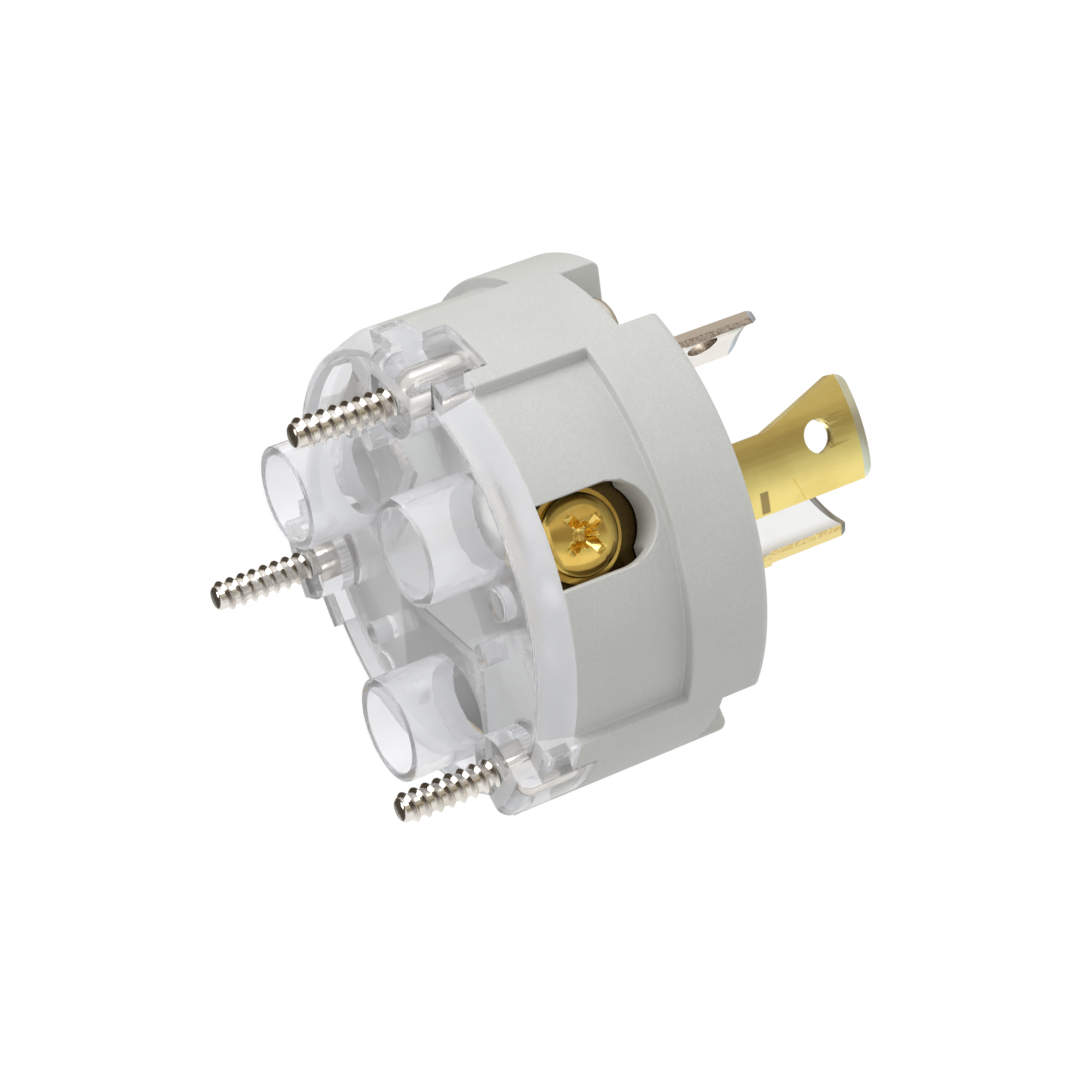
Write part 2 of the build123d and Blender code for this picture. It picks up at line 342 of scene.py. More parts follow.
def new_material(name: str) -> tuple[bpy.types.Material, Wiring, bpy.types.Node, bpy.types.Node]:
    """Makes a node material.

    Args:
        name: the material's name.

    Returns:
        The material, its wiring, its Principled node and its output node.
    """
    material = bpy.data.materials.new(name)
    material.use_nodes = True
    tree = material.node_tree
    shader = next(node for node in tree.nodes if node.type == "BSDF_PRINCIPLED")
    output = next(node for node in tree.nodes if node.type == "OUTPUT_MATERIAL")
    return material, Wiring(tree), shader, output


@dataclass(frozen=True)
class MouldedFinish:
    """Opaque moulded plastic with a fine mould grain."""

    name: str
    slot: str
    colour: Colour
    shade: Colour
    dark: Colour
    speckle: float = 0.5
    speckle_span: Span = (0.35, 0.65)
    mottle_size: float = 6.0
    mottle_span: Span = (0.3, 0.7)
    roughness: float = 0.48
    roughness_spread: float = 0.12
    specular: float = 0.42
    grain_size: float = 0.22
    grain_depth: float = 0.035
    grain_strength: float = 0.55

    def material(self) -> bpy.types.Material:
        """Builds the finish's material.

        Returns:
            The new material.
        """
        material, wire, shader, _ = new_material(self.name)
        grain = wire.node("ShaderNodeGroup", {"node_tree": FINE_GRAIN}, Grain_Size=self.grain_size * MM,
                          Mottle_Size=self.mottle_size * MM).outputs
        mottle = wire.step(grain["Mottle"], *self.mottle_span)
        speck = wire.math("MULTIPLY", wire.step(grain["Height"], *self.speckle_span), self.speckle)
        plain = wire.blend(mottle, self.shade, self.colour)
        wire.feed(shader.inputs["Base Color"], wire.blend(speck, plain, self.dark))
        rough = wire.math("MULTIPLY_ADD", grain["Height"], self.roughness_spread,
                          self.roughness - self.roughness_spread / 2)
        wire.feed(shader.inputs["Roughness"], rough)
        wire.relief(shader, grain["Height"], self.grain_strength, self.grain_depth)
        shader.inputs["Specular IOR Level"].default_value = self.specular
        return material


@dataclass(frozen=True)
class ClearFinish:
    """Clear moulded plastic with faint flow ripples and a frosted rim.

    Light that has been thrown about inside too often ends in a pale haze, and shadows stay light.
    """

    name: str
    slot: str
    colour: Colour
    refraction: float = 1.5
    haze: Colour = (0.82, 0.825, 0.835)
    clarity: float = 0.86
    roughness: float = 0.04
    rim_radius: float = 21.1
    panel_radius: float = 22.5
    rim_blend: float = 0.08
    rim_roughness: float = 0.45
    rim_haze: float = 0.3
    ripple_size: float = 2.4
    ripple_depth: float = 0.06
    ripple_strength: float = 0.5
    mottle_size: float = 6.0
    mottle_span: Span = (0.35, 0.75)
    inner_reflections: int = 2
    longest_path: int = 4

    def material(self) -> bpy.types.Material:
        """Builds the finish's material.

        Returns:
            The new material.
        """
        material, wire, shader, output = new_material(self.name)
        grain = wire.node("ShaderNodeGroup", {"node_tree": FINE_GRAIN}, Grain_Size=self.ripple_size * MM,
                          Mottle_Size=self.mottle_size * MM).outputs
        clear = wire.math("MULTIPLY", wire.step(grain["Mottle"], *self.mottle_span), 2 * self.roughness)
        rim = wire.band(wire.radius(), self.rim_radius * MM, self.panel_radius * MM, self.rim_blend * MM)
        wire.feed(shader.inputs["Roughness"], wire.math("MULTIPLY_ADD", rim, self.rim_roughness, clear))
        wire.relief(shader, grain["Height"], self.ripple_strength, self.ripple_depth)
        shader.inputs["Base Color"].default_value = (*self.colour, 1.0)
        shader.inputs["IOR"].default_value = self.refraction
        shader.inputs["Transmission Weight"].default_value = self.clarity
        path = wire.node("ShaderNodeLightPath").outputs
        mirrored = wire.math("GREATER_THAN", path["Glossy Depth"], self.inner_reflections - 0.5)
        spent = wire.math("GREATER_THAN", path["Ray Depth"], self.longest_path - 0.5)
        trapped = wire.math("MAXIMUM", mirrored, spent)
        hazy = wire.math("MAXIMUM", trapped, wire.math("MULTIPLY", rim, self.rim_haze))
        haze = wire.node("ShaderNodeBsdfDiffuse", Color=(*self.haze, 1.0)).outputs["BSDF"]
        seen = wire.shaders(hazy, shader.outputs["BSDF"], haze)
        veil = wire.node("ShaderNodeBsdfTransparent", Color=(*self.colour, 1.0)).outputs["BSDF"]
        wire.feed(output.inputs["Surface"], wire.shaders(path["Is Shadow Ray"], seen, veil))
        return material


@dataclass(frozen=True)
class MetalFinish:
    """Bare or plated metal with its drawing and handling marks."""

    name: str
    slot: str
    colour: Colour
    tarnish: Colour
    grain: Grain
    roughness: float = 0.22
    roughness_spread: float = 0.16
    mark_depth: float = 0.006
    mark_strength: float = 0.4
    stain_span: Span = (0.42, 0.78)

    def material(self) -> bpy.types.Material:
        """Builds the finish's material.

        Returns:
            The new material.
        """
        material, wire, shader, _ = new_material(self.name)
        marks = self.marks(wire)
        self.dress(wire, shader, marks, self.stained(wire, marks))
        return material

    def marks(self, wire: Wiring) -> bpy.types.Node:
        """Places the drawn marks with this finish's grain."""
        return wire.node("ShaderNodeGroup", {"node_tree": DRAWN_MARKS}, Density=self.grain.value)

    def stained(self, wire: Wiring, marks: bpy.types.Node) -> bpy.types.NodeSocket:
        """Colour of the plain surface with its handling stains."""
        return wire.blend(wire.step(marks.outputs["Stain"], *self.stain_span), self.colour, self.tarnish)

    def dress(self, wire: Wiring, shader: bpy.types.Node, marks: bpy.types.Node,
              colour: bpy.types.NodeSocket) -> None:
        """Sets the metal's colour, gloss and marks on its shader.

        Args:
            wire: the material's wiring.
            shader: the Principled node.
            marks: the drawn marks of the surface.
            colour: the colour to show.
        """
        wire.feed(shader.inputs["Base Color"], colour)
        shader.inputs["Metallic"].default_value = 1.0
        rough = wire.math("MULTIPLY_ADD", marks.outputs["Streak"], self.roughness_spread,
                          self.roughness - self.roughness_spread / 2)
        wire.feed(shader.inputs["Roughness"], rough)
        wire.relief(shader, marks.outputs["Height"], self.mark_strength, self.mark_depth)


@dataclass(frozen=True)
class PaintedHeadFinish(MetalFinish):
    """Terminal screw of plated metal whose head is painted."""

    paint: Colour = (0.07, 0.36, 0.13)
    seat: float = 18.7
    seat_blend: float = 0.05

    def material(self) -> bpy.types.Material:
        """Builds the finish's material.

        Returns:
            The new material.
        """
        material, wire, shader, _ = new_material(self.name)
        marks = self.marks(wire)
        low, high = self.seat - self.seat_blend, self.seat + self.seat_blend
        head = wire.step(wire.radius(), low * MM, high * MM)
        self.dress(wire, shader, marks, wire.blend(head, self.colour, self.paint))
        return material


@dataclass(frozen=True)
class BladeFinish(MetalFinish):
    """Stamped strip with a bevelled tip that was struck after the plating; on the ground blade the tip colour
    is a painted dark reflection instead.
    """

    tip: Colour = (0.8, 0.86, 0.72)
    tip_start: float = 51.5
    tip_blend: float = 0.2
    tip_rise: Span = (0.15, 0.22)

    def tipped(self, wire: Wiring, colour: bpy.types.NodeSocket) -> bpy.types.NodeSocket:
        """Shows the struck metal on the tip's bevel and end, which on the ground blade is a painted dark
        reflection.

        Args:
            wire: the material's wiring.
            colour: the blade's colour elsewhere.

        Returns:
            The colour with the tip colour laid over it.
        """
        height = wire.node("ShaderNodeSeparateXYZ", Vector=wire.place()).outputs["Z"]
        normal = wire.node("ShaderNodeNewGeometry").outputs["True Normal"]
        rise = wire.node("ShaderNodeSeparateXYZ", Vector=normal).outputs["Z"]
        above = wire.step(height, self.tip_start * MM, (self.tip_start + self.tip_blend) * MM)
        struck = wire.math("MULTIPLY", wire.step(rise, *self.tip_rise), above)
        return wire.blend(struck, colour, self.tip)


@dataclass(frozen=True)
class StripFinish(BladeFinish):
    """Plated strip whose sheared edges show other metal than its faces, half burnished and half torn."""

    edge: Colour = (0.8, 0.6, 0.25)
    torn: Colour = (0.35, 0.24, 0.1)
    edge_roughness: float = 0.42
    face_span: Span = (0.6, 0.66)
    tear_density: float = 2600.0
    tear_depth: float = 0.5
    tear_radii: Span = (11.67, 11.77)
    torn_span: Span = (0.4, 0.62)

    def material(self) -> bpy.types.Material:
        """Builds the finish's material.

        Returns:
            The new material.
        """
        material, wire, shader, _ = new_material(self.name)
        marks = self.marks(wire)
        facing = wire.math("ABSOLUTE", wire.facing_out())
        sheared = wire.math("SUBTRACT", 1.0, wire.step(facing, *self.face_span))
        tear = wire.noise(wire.place(), self.tear_density, detail=4.0, roughness=0.7)
        ragged = wire.math("MULTIPLY_ADD", tear, self.tear_depth * MM, wire.radius())
        low, high = self.tear_radii
        inner = wire.math("SUBTRACT", 1.0, wire.step(ragged, low * MM, high * MM))
        torn = wire.blend(wire.step(tear, *self.torn_span), self.torn, self.edge)
        edge = wire.blend(inner, self.edge, torn)
        face = wire.blend(sheared, self.stained(wire, marks), edge)
        self.dress(wire, shader, marks, self.tipped(wire, face))
        rough = wire.math("MULTIPLY_ADD", sheared, self.edge_roughness - self.roughness, self.roughness)
        wire.feed(shader.inputs["Roughness"], rough)
        return material


@dataclass(frozen=True)
class HotStripFinish(BladeFinish):
    """Bare brass strip with a coined mark, painted shade along a fine crease near its free edge, and painted
    shade on its terminal plate deep in the window.
    """

    mark_turn: Span = (15.0, 25.0)
    mark_height: Span = (41.4, 42.3)
    mark_blend: Span = (0.4, 0.08)
    mark_colour: Colour = (0.36, 0.27, 0.11)
    # Painted shade: a darker orange line stands for the shade of a fine crease near the free edge
    crease_start: Span = (14.0, 45.2)
    crease_end: Span = (26.0, 46.3)
    crease_half: float = 0.06
    crease_blend: float = 0.05
    crease_fade: float = 1.0
    crease_drift: float = 0.5
    crease_shade_share: float = 0.6
    crease_shade_colour: Colour = (0.75, 0.42, 0.05)
    # Painted shade: the terminal plate's outward faces past this radius, deep in the window, are painted dark
    # brown
    shaded_plate_radius: float = 16.5
    shaded_plate_blend: float = 0.2
    shaded_plate_span: Span = (0.6, 0.7)
    painted_plate_shade: Colour = (0.15, 0.1, 0.035)

    def material(self) -> bpy.types.Material:
        """Builds the finish's material.

        Returns:
            The new material.
        """
        material, wire, shader, _ = new_material(self.name)
        marks = self.marks(wire)
        place = wire.node("ShaderNodeSeparateXYZ", Vector=wire.place()).outputs
        turn = wire.math("DEGREES", wire.math("ARCTAN2", place["Y"], place["X"]))
        turn = wire.math("SUBTRACT", turn, Pole.HOT.value)
        height = wire.math("DIVIDE", place["Z"], MM)
        # Painted shade along the crease
        crease = wire.math("MULTIPLY", self.crease(wire, marks, turn, height), self.crease_shade_share)
        colour = wire.blend(crease, self.stained(wire, marks), self.crease_shade_colour)
        round_soft, up_soft = self.mark_blend
        coined = wire.math("MULTIPLY", wire.band(turn, *self.mark_turn, round_soft),
                           wire.band(height, *self.mark_height, up_soft))
        colour = self.tipped(wire, wire.blend(coined, colour, self.mark_colour))
        # Painted shade on the terminal plate deep in the window
        low, high = self.shaded_plate_radius - self.shaded_plate_blend, self.shaded_plate_radius + self.shaded_plate_blend
        plate = wire.math("MULTIPLY", wire.step(wire.facing_out(), *self.shaded_plate_span),
                          wire.step(wire.radius(), low * MM, high * MM))
        self.dress(wire, shader, marks, wire.blend(plate, colour, self.painted_plate_shade))
        return material

    def crease(self, wire: Wiring, marks: bpy.types.Node, turn: bpy.types.NodeSocket,
               height: bpy.types.NodeSocket) -> bpy.types.NodeSocket:
        """Mask of the painted shade along the fine crease, which wanders a little with the stains.

        Args:
            wire: the material's wiring.
            marks: the drawn marks of the surface.
            turn: the angle from the hot station, in degrees.
            height: the height in millimetres.

        Returns:
            The mask, 1 on the crease.
        """
        (first, low), (last, high) = self.crease_start, self.crease_end
        run = wire.node("ShaderNodeMapRange", Value=turn, From_Min=first, From_Max=last, To_Min=low,
                        To_Max=high)
        level = wire.math("SUBTRACT", height, self.crease_drift / 2)
        drift = wire.math("MULTIPLY_ADD", marks.outputs["Stain"], self.crease_drift, level)
        away = wire.math("SUBTRACT", drift, run.outputs["Result"])
        return wire.math("MULTIPLY", wire.band(away, -self.crease_half, self.crease_half, self.crease_blend),
                         wire.band(turn, first, last, self.crease_fade))


GREY_MOULDING = MouldedFinish("grey_moulding", "grey_moulding", (0.59, 0.595, 0.57), (0.565, 0.57, 0.545),
                              (0.50, 0.505, 0.485))
CLEAR_MOULDING = ClearFinish("clear_moulding", "clear_moulding", (0.935, 0.935, 0.942))
BRASS_STRIP = HotStripFinish("brass_strip", "brass_strip", (0.92, 0.76, 0.28), (0.82, 0.63, 0.21),
                             Grain.LENGTHWISE, roughness=0.26, tip=(0.93, 0.97, 0.84))
NICKEL_STRIP = StripFinish("nickel_strip", "nickel_strip", (0.86, 0.83, 0.79), (0.78, 0.74, 0.69),
                           Grain.LENGTHWISE, roughness=0.16, tip=(0.56, 0.62, 0.72), edge=(0.46, 0.39, 0.32),
                           torn=(0.24, 0.19, 0.15))
# The ground blade's dark grey tip is a painted dark reflection on its tip bevel and end
NICKEL_BRASS_STRIP = StripFinish("nickel_brass_strip", "nickel_brass_strip", (0.88, 0.88, 0.87),
                                 (0.80, 0.79, 0.77), Grain.LENGTHWISE, roughness=0.09, tip=(0.34, 0.34, 0.33),
                                 tip_start=55.5, edge=(0.90, 0.74, 0.34), torn=(0.7, 0.52, 0.2))
BRASS_SCREW = MetalFinish("brass_screw", "brass_screw", (0.90, 0.65, 0.18), (0.72, 0.46, 0.10), Grain.TUMBLED,
                          roughness=0.16)
NICKEL_SCREW = MetalFinish("nickel_screw", "nickel_screw", (0.80, 0.76, 0.71), (0.56, 0.50, 0.43),
                           Grain.TUMBLED, roughness=0.14, mark_depth=0.03)
GREEN_SCREW = PaintedHeadFinish("green_screw", "green_screw", (0.74, 0.72, 0.68), (0.55, 0.52, 0.47),
                                Grain.TUMBLED, roughness=0.2)
CLAMP_STEEL = MetalFinish("clamp_steel", "clamp_steel", (0.72, 0.71, 0.67), (0.6, 0.57, 0.5), Grain.CROSSWISE,
                          roughness=0.32)

STRIP_FINISHES = {Pole.HOT: BRASS_STRIP, Pole.GROUND: NICKEL_BRASS_STRIP, Pole.NEUTRAL: NICKEL_STRIP}
TERMINAL_FINISHES = {Pole.HOT: BRASS_SCREW, Pole.GROUND: GREEN_SCREW, Pole.NEUTRAL: NICKEL_SCREW}
WASHER_FINISHES = {Pole.HOT: BRASS_SCREW, Pole.GROUND: NICKEL_SCREW, Pole.NEUTRAL: NICKEL_SCREW}


class Palette:
    """Builds each finish's material once and hands it out."""

    def __init__(self) -> None:
        self.made: dict[str, bpy.types.Material] = {}

    def of(self, finish: MouldedFinish | ClearFinish | MetalFinish) -> bpy.types.Material:
        """Returns the material of a finish.

        Args:
            finish: the finish to show.

        Returns:
            Its material, the same one each time.
        """
        if finish.name not in self.made:
            self.made[finish.name] = finish.material()
        return self.made[finish.name]


# Mesh helpers


def polar(radius: float, angle: float) -> tuple[float, float]:
    """Point at a radius and an angle in radians."""
    return radius * math.cos(angle), radius * math.sin(angle)


def station_frame(angle: float, distance: float, height: float) -> Matrix:
    """Frame that faces out from the axis.

    Args:
        angle: the direction about the axis, in degrees.
        distance: how far out the frame's origin lies, in millimetres.
        height: the origin's height, in millimetres.

    Returns:
        The frame, with X round the axis, Y up and Z out, in metres.
    """
    out = Vector((*polar(1.0, math.radians(angle)), 0.0))
    around = Vector((-out.y, out.x, 0.0))
    frame_axes = Matrix((around, Vector((0, 0, 1)), out)).transposed().to_4x4()
    return Matrix.Translation(out * distance * MM + Vector((0, 0, height * MM))) @ frame_axes


def lathe(profile: Profile, sides: int) -> bmesh.types.BMesh:
    """Turns a profile round Z.

    Args:
        profile: radius and height in millimetres, from the axis to the axis, or a closed outline
            away from it.
        sides: the number of facets round the axis.

    Returns:
        A closed mesh in metres.
    """
    mesh = bmesh.new()
    rings = []
    for radius, height in profile:
        if radius == 0:
            rings.append([mesh.verts.new((0, 0, height * MM))])
            continue
        turns = [2 * math.pi * step / sides for step in range(sides)]
        rings.append([mesh.verts.new((*polar(radius * MM, turn), height * MM)) for turn in turns])
    joined = rings[1:] + (rings[:1] if profile[0][0] > 0 else [])
    for low, high in zip(rings, joined):
        for step in range(sides):
            after = (step + 1) % sides
            corners = [low[step % len(low)], low[after % len(low)],
                       high[after % len(high)], high[step % len(high)]]
            mesh.faces.new(list(dict.fromkeys(corners)))
    bmesh.ops.recalc_face_normals(mesh, faces=mesh.faces)
    return mesh


def prism(top: Profile, bottom: Profile, top_z: float, bottom_z: float) -> bmesh.types.BMesh:
    """Closed block between two outlines of as many corners.

    Args:
        top: the upper outline, in millimetres.
        bottom: the lower outline, in millimetres.
        top_z: the upper outline's height.
        bottom_z: the lower outline's height.

    Returns:
        A closed mesh in metres.
    """
    mesh = bmesh.new()
    upper = [mesh.verts.new((x * MM, y * MM, top_z * MM)) for x, y in top]
    lower = [mesh.verts.new((x * MM, y * MM, bottom_z * MM)) for x, y in bottom]
    mesh.faces.new(upper)
    mesh.faces.new(list(reversed(lower)))
    for here in range(len(upper)):
        after = (here + 1) % len(upper)
        mesh.faces.new((upper[here], lower[here], lower[after], upper[after]))
    bmesh.ops.recalc_face_normals(mesh, faces=mesh.faces)
    return mesh


def cross_outline(arm: float, width: float) -> list[tuple[float, float]]:
    """Corners of an upright cross of two bars, in millimetres.

    Args:
        arm: the bars' length.
        width: the bars' width.

    Returns:
        The corners in order.
    """
    a, w = arm / 2, width / 2
    return [(a, -w), (a, w), (w, w), (w, a), (-w, a), (-w, w),
            (-a, w), (-a, -w), (-w, -w), (-w, -a), (w, -a), (w, -w)]


def bar_outline(length: float, width: float) -> list[tuple[float, float]]:
    """Corners of a bar, in millimetres."""
    a, w = length / 2, width / 2
    return [(a, -w), (a, w), (-a, w), (-a, -w)]


def new_object(name: str, shape: bmesh.types.BMesh) -> bpy.types.Object:
    """Turns a built shape into an object in the scene.

    Args:
        name: the object's name.
        shape: the shape, which is used up.

    Returns:
        The new object.
    """
    mesh = bpy.data.meshes.new(name)
    shape.to_mesh(mesh)
    shape.free()
    made = bpy.data.objects.new(name, mesh)
    bpy.context.scene.collection.objects.link(made)
    return made


def settle(piece: bpy.types.Object) -> None:
    """Turns a piece's modifiers into plain mesh.

    Args:
        piece: the object to settle.
    """
    depsgraph = bpy.context.evaluated_depsgraph_get()
    mesh = bpy.data.meshes.new_from_object(piece.evaluated_get(depsgraph))
    piece.modifiers.clear()
    old = piece.data
    piece.data = mesh
    bpy.data.meshes.remove(old)


def turn_outwards(mesh: bpy.types.Mesh) -> None:
    """Points the faces of a mesh's closed shells outwards.

    Args:
        mesh: the mesh to change.
    """
    shape = bmesh.new()
    shape.from_mesh(mesh)
    bmesh.ops.recalc_face_normals(shape, faces=shape.faces)
    shape.to_mesh(mesh)
    shape.free()


def combine(piece: bpy.types.Object, tool: bpy.types.Object, join: Join) -> None:
    """Adds one closed shape to another or cuts it away, and uses it up.

    Args:
        piece: the piece to change.
        tool: the closed shape to add or to take away.
        join: what to do with it.
    """
    change = piece.modifiers.new("join", "BOOLEAN")
    change.operation = join.value
    change.solver = "EXACT"
    change.object = tool
    settle(piece)
    bpy.data.objects.remove(tool)


def tidy(piece: bpy.types.Object) -> None:
    """Merges the doubles and the flat faces that joins leave in a piece.

    Args:
        piece: the object to clean.
    """
    shape = bmesh.new()
    shape.from_mesh(piece.data)
    bmesh.ops.remove_doubles(shape, verts=shape.verts, dist=WELD_DISTANCE * MM)
    bmesh.ops.dissolve_limit(shape, angle_limit=math.radians(JOINED_FLAT), verts=shape.verts,
                             edges=shape.edges)
    bmesh.ops.recalc_face_normals(shape, faces=shape.faces)
    shape.to_mesh(piece.data)
    shape.free()


def soften(piece: bpy.types.Object, width: float, angle: float = EDGE_ANGLE, clamped: bool = True) -> None:
    """Adds a small round to a piece's sharp edges.

    Args:
        piece: the object to round.
        width: the round's width in millimetres.
        angle: the least angle of an edge that is rounded, in degrees.
        clamped: whether short edges hold the round's width back.
    """
    bevel = piece.modifiers.new("edge_round", "BEVEL")
    bevel.width = width * MM
    bevel.segments = CLAMPED_SEGMENTS if clamped else FREE_SEGMENTS
    bevel.limit_method = "ANGLE"
    bevel.angle_limit = math.radians(angle)
    bevel.use_clamp_overlap = clamped
    even_normals(piece)


def even_normals(piece: bpy.types.Object, keep_sharp: bool = False) -> None:
    """Shades a piece by its larger faces, so that flat areas stay flat beside rounds.

    Args:
        piece: the object to shade.
        keep_sharp: whether its sharp edges stay sharp, where no round has replaced them.
    """
    weigh = piece.modifiers.new("even_normals", "WEIGHTED_NORMAL")
    weigh.weight = FACE_WEIGHT
    weigh.use_face_influence = False
    weigh.keep_sharp = keep_sharp


def smooth(mesh: bpy.types.Mesh, angle: float) -> None:
    """Shades a mesh smooth, apart from edges sharper than an angle in degrees."""
    mesh.shade_smooth()
    mesh.set_sharp_from_angle(angle=math.radians(angle))


def dress_node(name: str, material: bpy.types.Material, edge_round: float, angle: float = EDGE_ANGLE,
               clamped: bool = True) -> bpy.types.Object:
    """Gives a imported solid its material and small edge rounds.

    Args:
        name: the solid's node.
        material: the material to show.
        edge_round: the width of the edge rounds in millimetres.
        angle: the least angle of an edge that is rounded, in degrees.
        clamped: whether short edges hold the rounds' width back.

    Returns:
        The node's object.
    """
    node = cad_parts[name]
    node.data.materials.clear()
    node.data.materials.append(material)
    node.data.shade_smooth()
    weld = node.modifiers.new("weld", "WELD")
    weld.merge_threshold = WELD_DISTANCE * MM
    merge = node.modifiers.new("merge_flats", "DECIMATE")
    merge.decimate_type = "DISSOLVE"
    merge.angle_limit = math.radians(PACKED_FLAT)
    soften(node, edge_round, angle, clamped)
    return node


# Threads


def geometry_group(name: str, inputs: dict[str, str]) -> bpy.types.NodeTree:
    """Makes an empty Geometry Nodes tree that takes a shape, the given inputs and a material."""
    given = {"Geometry": "NodeSocketGeometry", **inputs, "Material": "NodeSocketMaterial"}
    return new_group(name, "GeometryNodeTree", given, {"Geometry": "NodeSocketGeometry"})


def end_tree(wire: Wiring, shape: bpy.types.NodeSocket, material: bpy.types.NodeSocket) -> None:
    """Ends a Geometry Nodes tree with real geometry in its material.

    Args:
        wire: the tree's wiring.
        shape: the geometry to show.
        material: the tree's material input.
    """
    real = wire.node("GeometryNodeRealizeInstances", Geometry=shape).outputs["Geometry"]
    dressed = wire.node("GeometryNodeSetMaterial", Geometry=real, Material=material).outputs["Geometry"]
    wire.node("NodeGroupOutput", Geometry=dressed)


def run_tree(piece: bpy.types.Object, tree: bpy.types.NodeTree, values: dict[str, object]) -> None:
    """Runs a Geometry Nodes tree on a piece and makes the result plain mesh.

    Args:
        piece: the object to change.
        tree: the tree to run.
        values: the tree's inputs by name.
    """
    change = piece.modifiers.new(tree.name, "NODES")
    change.node_group = tree
    for item in tree.interface.items_tree:
        if item.in_out == "INPUT" and item.name in values:
            change[item.identifier] = values[item.name]
    settle(piece)


def thread_tree(turn_steps: int = 40, run_in: Span = (-0.25, 0.35), run_out: Span = (-0.1, 0.5),
                sunk: float = 0.2) -> bpy.types.NodeTree:
    """Geometry Nodes tree that winds a thread on a turned blank.

    The blank is the modifier's own geometry, with its axis on Z and its tip at the origin.

    Args:
        turn_steps: facets in one turn.
        run_in: turns over which the thread rises at its start.
        run_out: turns over which it falls at its end.
        sunk: the depth of its foot in the blank, as a share of the crest's height.

    Returns:
        The tree, with inputs Start, Length, Pitch, Root Radius, Crest Height, Foot Width, Crest Width
        and Material.
    """
    sizes = ("Start", "Length", "Pitch", "Root Radius", "Crest Height", "Foot Width", "Crest Width")
    tree = geometry_group("screw_thread", dict.fromkeys(sizes, "NodeSocketFloat"))
    wire = Wiring(tree)
    given = wire.node("NodeGroupInput").outputs
    turns = wire.math("DIVIDE", given["Length"], given["Pitch"])
    root = given["Root Radius"]
    path = wire.node("GeometryNodeCurveSpiral", Resolution=turn_steps, Rotations=turns, Start_Radius=root,
                     End_Radius=root, Height=given["Length"], Reverse=True)
    upright = wire.node("GeometryNodeSetCurveNormal", {"mode": "Z_UP"}, Curve=path.outputs["Curve"])
    turned = wire.math("MULTIPLY", wire.node("GeometryNodeSplineParameter").outputs["Factor"], turns)
    left = wire.math("SUBTRACT", turns, turned)
    height = wire.math("MINIMUM", wire.step(turned, *run_in), wire.step(left, *run_out))
    corners = []
    foot = wire.math("MULTIPLY", given["Crest Height"], -sunk)
    for width, out in (("Foot Width", foot), ("Crest Width", given["Crest Height"])):
        for share in (-0.5, 0.5):
            side = wire.math("MULTIPLY", given[width], share)
            corners.append(wire.node("ShaderNodeCombineXYZ", X=out, Y=side).outputs["Vector"])
    outline = wire.node("GeometryNodeCurvePrimitiveQuadrilateral", {"mode": "POINTS"}, Point_1=corners[0],
                        Point_2=corners[2], Point_3=corners[3], Point_4=corners[1])
    rib = wire.node("GeometryNodeCurveToMesh", Curve=upright.outputs["Curve"],
                    Profile_Curve=outline.outputs["Curve"], Scale=height, Fill_Caps=True)
    lift = wire.node("ShaderNodeCombineXYZ", Z=given["Start"]).outputs["Vector"]
    placed = wire.node("GeometryNodeTransform", Geometry=rib.outputs["Mesh"], Translation=lift)
    joined = wire.node("GeometryNodeJoinGeometry")
    for shape in (given["Geometry"], placed.outputs["Geometry"]):
        tree.links.new(shape, joined.inputs["Geometry"])
    end_tree(wire, joined.outputs["Geometry"], given["Material"])
    return tree


THREAD = thread_tree()


def round_the_axis_tree() -> bpy.types.NodeTree:
    """Geometry Nodes tree that repeats a shape round Z.

    Returns:
        The tree, with inputs Geometry, Count and Material.
    """
    tree = geometry_group("round_the_axis", {"Count": "NodeSocketInt"})
    wire = Wiring(tree)
    given = wire.node("NodeGroupInput").outputs
    hubs = wire.node("GeometryNodePoints", Count=given["Count"])
    step = wire.math("DIVIDE", math.tau, given["Count"])
    turn = wire.math("MULTIPLY", wire.node("GeometryNodeInputIndex").outputs["Index"], step)
    spin = wire.node("ShaderNodeCombineXYZ", Z=turn)
    copies = wire.node("GeometryNodeInstanceOnPoints", Points=hubs.outputs[0], Instance=given["Geometry"],
                       Rotation=spin.outputs["Vector"])
    end_tree(wire, copies.outputs["Instances"], given["Material"])
    return tree


ROUND_THE_AXIS = round_the_axis_tree()


@dataclass(frozen=True)
class Thread:
    """Sizes of a wound thread, in millimetres."""

    start: float
    length: float
    pitch: float
    root_radius: float
    crest_height: float
    foot_width: float
    crest_width: float

    def wind(self, blank: bpy.types.Object, material: bpy.types.Material) -> None:
        """Winds the thread on a turned blank and makes the result plain mesh.

        Args:
            blank: the screw's blank, with its axis on Z.
            material: the material of blank and thread.
        """
        sizes = {"Start": self.start, "Length": self.length, "Pitch": self.pitch,
                 "Root Radius": self.root_radius, "Crest Height": self.crest_height,
                 "Foot Width": self.foot_width, "Crest Width": self.crest_width}
        values = {name: size * MM for name, size in sizes.items()}
        run_tree(blank, THREAD, {**values, "Material": material})
        turn_outwards(blank.data)


# Sub-assemblies


@dataclass
class Body:
    """The grey moulded body."""

    palette: Palette
    edge_round: float = 0.2

    def build(self) -> list[bpy.types.Object]:
        """Dresses the body.

        Returns:
            The dressed piece, alone in a list.
        """
        return [dress_node("body", self.palette.of(GREY_MOULDING), self.edge_round, clamped=False)]


@dataclass(frozen=True)
class Pin:
    """Upright pin on the cover's plate, placed beside its pole's station."""

    radius: float
    circle: float
    turn: float
    low_z: float


